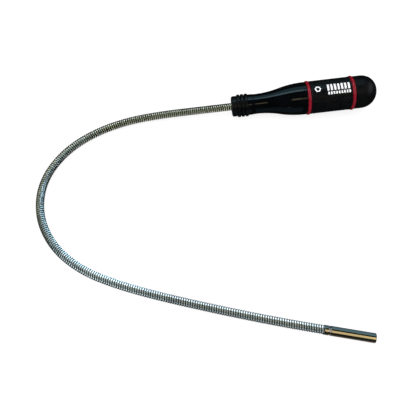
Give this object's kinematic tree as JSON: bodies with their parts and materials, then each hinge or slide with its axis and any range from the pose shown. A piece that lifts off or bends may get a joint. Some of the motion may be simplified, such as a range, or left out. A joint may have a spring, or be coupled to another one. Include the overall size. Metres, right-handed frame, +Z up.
{
  "type": "magnetic pickup tool",
  "caption": "Flexible magnetic pick-up tool with a black torch-shaped handle, a bendable steel gooseneck shaft and a chromed tube tip that holds a magnet.",
  "frame": {"origin": "middle of the tool's outline as it lies, on the surface that it lies on", "axes": "+Z up; +X towards the handle's butt and the magnet's end, away from the bend of the shaft; +Y towards the handle's side of the bend"},
  "size_m": [0.2536, 0.1996, 0.0283],
  "materials": {
    "body_plastic": "glossy black",
    "grip_plastic": "fine-textured black",
    "collar_rubber": "satin black",
    "ring_rubber": "crimson, satin",
    "wire_steel": "bright wound wire",
    "coil_steel": "plain spring steel",
    "ferrule_steel": "plain turned steel",
    "tip_chrome": "polished",
    "magnet_nickel": "nickel plated"
  },
  "bodies": {
    "handle": {"nose_collar": "collar_rubber", "front_body": "body_plastic", "front_o_ring": "ring_rubber", "grip_sleeve": "grip_plastic", "rear_o_ring": "ring_rubber", "tail_cap": "grip_plastic", "anchor_ferrule": "ferrule_steel", "retaining_washer": "ferrule_steel", "wound_wire_00": "wire_steel", "inner_coil_00": "coil_steel"},
    "shaft_01": {"wound_wire_01": "wire_steel", "inner_coil_01": "coil_steel"},
    "shaft_02": {"wound_wire_02": "wire_steel", "inner_coil_02": "coil_steel"},
    "shaft_03": {"wound_wire_03": "wire_steel", "inner_coil_03": "coil_steel"},
    "shaft_04": {"wound_wire_04": "wire_steel", "inner_coil_04": "coil_steel"},
    "shaft_05": {"wound_wire_05": "wire_steel", "inner_coil_05": "coil_steel"},
    "shaft_06": {"wound_wire_06": "wire_steel", "inner_coil_06": "coil_steel"},
    "shaft_07": {"wound_wire_07": "wire_steel", "inner_coil_07": "coil_steel"},
    "shaft_08": {"wound_wire_08": "wire_steel", "inner_coil_08": "coil_steel"},
    "shaft_09": {"wound_wire_09": "wire_steel", "inner_coil_09": "coil_steel"},
    "shaft_10": {"wound_wire_10": "wire_steel", "inner_coil_10": "coil_steel"},
    "shaft_11": {"wound_wire_11": "wire_steel", "inner_coil_11": "coil_steel"},
    "shaft_12": {"wound_wire_12": "wire_steel", "inner_coil_12": "coil_steel"},
    "shaft_13": {"wound_wire_13": "wire_steel", "inner_coil_13": "coil_steel"},
    "shaft_14": {"wound_wire_14": "wire_steel", "inner_coil_14": "coil_steel"},
    "shaft_15": {"wound_wire_15": "wire_steel", "inner_coil_15": "coil_steel"},
    "shaft_16": {"wound_wire_16": "wire_steel", "inner_coil_16": "coil_steel"},
    "shaft_17": {"wound_wire_17": "wire_steel", "inner_coil_17": "coil_steel"},
    "shaft_18": {"wound_wire_18": "wire_steel", "inner_coil_18": "coil_steel"},
    "shaft_19": {"wound_wire_19": "wire_steel", "inner_coil_19": "coil_steel"},
    "shaft_20": {"wound_wire_20": "wire_steel", "inner_coil_20": "coil_steel", "tip_tube": "tip_chrome", "tip_stud": "ferrule_steel", "magnet": "magnet_nickel"}
  },
  "joints": [
    {"name": "side_bend_01", "type": "hinge", "parent": "handle", "child": "shaft_01", "pos_m": [0.00251, 0.07731, 0.00799], "axis": [-0.0637, -0.0058, 0.998], "range_deg": [-33, 33]},
    {"name": "lift_bend_02", "type": "hinge", "parent": "shaft_01", "child": "shaft_02", "pos_m": [-0.011, 0.07603, 0.00716], "axis": [-0.098, 0.9952, 0], "range_deg": [-30, 30]},
    {"name": "side_bend_03", "type": "hinge", "parent": "shaft_02", "child": "shaft_03", "pos_m": [-0.02451, 0.07466, 0.00641], "axis": [0.0521, 0.0054, -0.9986], "range_deg": [-30, 36]},
    {"name": "side_bend_04", "type": "hinge", "parent": "shaft_03", "child": "shaft_04", "pos_m": [-0.05138, 0.07071, 0.00514], "axis": [-0.04, -0.0076, 0.9992], "range_deg": [-41, 25]},
    {"name": "side_bend_05", "type": "hinge", "parent": "shaft_04", "child": "shaft_05", "pos_m": [-0.07737, 0.06289, 0.00419], "axis": [0.0268, 0.0112, -0.9996], "range_deg": [-19, 47]},
    {"name": "lift_bend_06", "type": "hinge", "parent": "shaft_05", "child": "shaft_06", "pos_m": [-0.08952, 0.05681, 0.00383], "axis": [0.5072, -0.8618, 0], "range_deg": [-30, 30]},
    {"name": "side_bend_07", "type": "hinge", "parent": "shaft_06", "child": "shaft_07", "pos_m": [-0.10067, 0.04906, 0.00355], "axis": [-0.0135, -0.011, 0.9998], "range_deg": [-53, 13]},
    {"name": "side_bend_08", "type": "hinge", "parent": "shaft_07", "child": "shaft_08", "pos_m": [-0.11781, 0.02817, 0.00323], "axis": [0.0027, 0.0052, -1], "range_deg": [-6, 60]},
    {"name": "side_bend_09", "type": "hinge", "parent": "shaft_08", "child": "shaft_09", "pos_m": [-0.12375, 0.00195, 0.00315], "axis": [0, 0, 1], "range_deg": [-62, 4]},
    {"name": "side_bend_10", "type": "hinge", "parent": "shaft_09", "child": "shaft_10", "pos_m": [-0.11631, -0.02394, 0.00315], "axis": [0, 0, -1], "range_deg": [-7, 59]},
    {"name": "lift_bend_11", "type": "hinge", "parent": "shaft_10", "child": "shaft_11", "pos_m": [-0.1084, -0.03497, 0.00315], "axis": [-0.748, -0.6637, 0], "range_deg": [-30, 30]},
    {"name": "side_bend_12", "type": "hinge", "parent": "shaft_11", "child": "shaft_12", "pos_m": [-0.09843, -0.04419, 0.00315], "axis": [0, 0, 1], "range_deg": [-52, 14]},
    {"name": "side_bend_13", "type": "hinge", "parent": "shaft_12", "child": "shaft_13", "pos_m": [-0.0747, -0.0573, 0.00315], "axis": [0, 0, -1], "range_deg": [-22, 44]},
    {"name": "side_bend_14", "type": "hinge", "parent": "shaft_13", "child": "shaft_14", "pos_m": [-0.04886, -0.06576, 0.00315], "axis": [0, 0, 1], "range_deg": [-37, 29]},
    {"name": "lift_bend_15", "type": "hinge", "parent": "shaft_14", "child": "shaft_15", "pos_m": [-0.03571, -0.06923, 0.00315], "axis": [0.2432, 0.97, 0], "range_deg": [-30, 30]},
    {"name": "side_bend_16", "type": "hinge", "parent": "shaft_15", "child": "shaft_16", "pos_m": [-0.02249, -0.07242, 0.00315], "axis": [0, 0, -1], "range_deg": [-32, 34]},
    {"name": "side_bend_17", "type": "hinge", "parent": "shaft_16", "child": "shaft_17", "pos_m": [0.00405, -0.07837, 0.00315], "axis": [0, 0, 1], "range_deg": [-34, 32]},
    {"name": "side_bend_18", "type": "hinge", "parent": "shaft_17", "child": "shaft_18", "pos_m": [0.03068, -0.08388, 0.00315], "axis": [0, 0, -1], "range_deg": [-32, 34]},
    {"name": "lift_bend_19", "type": "hinge", "parent": "shaft_18", "child": "shaft_19", "pos_m": [0.04404, -0.08645, 0.00315], "axis": [-0.1834, -0.983, 0], "range_deg": [-30, 30]},
    {"name": "side_bend_20", "type": "hinge", "parent": "shaft_19", "child": "shaft_20", "pos_m": [0.05742, -0.08887, 0.00315], "axis": [0, 0, 1], "range_deg": [-34, 32]}
  ]
}
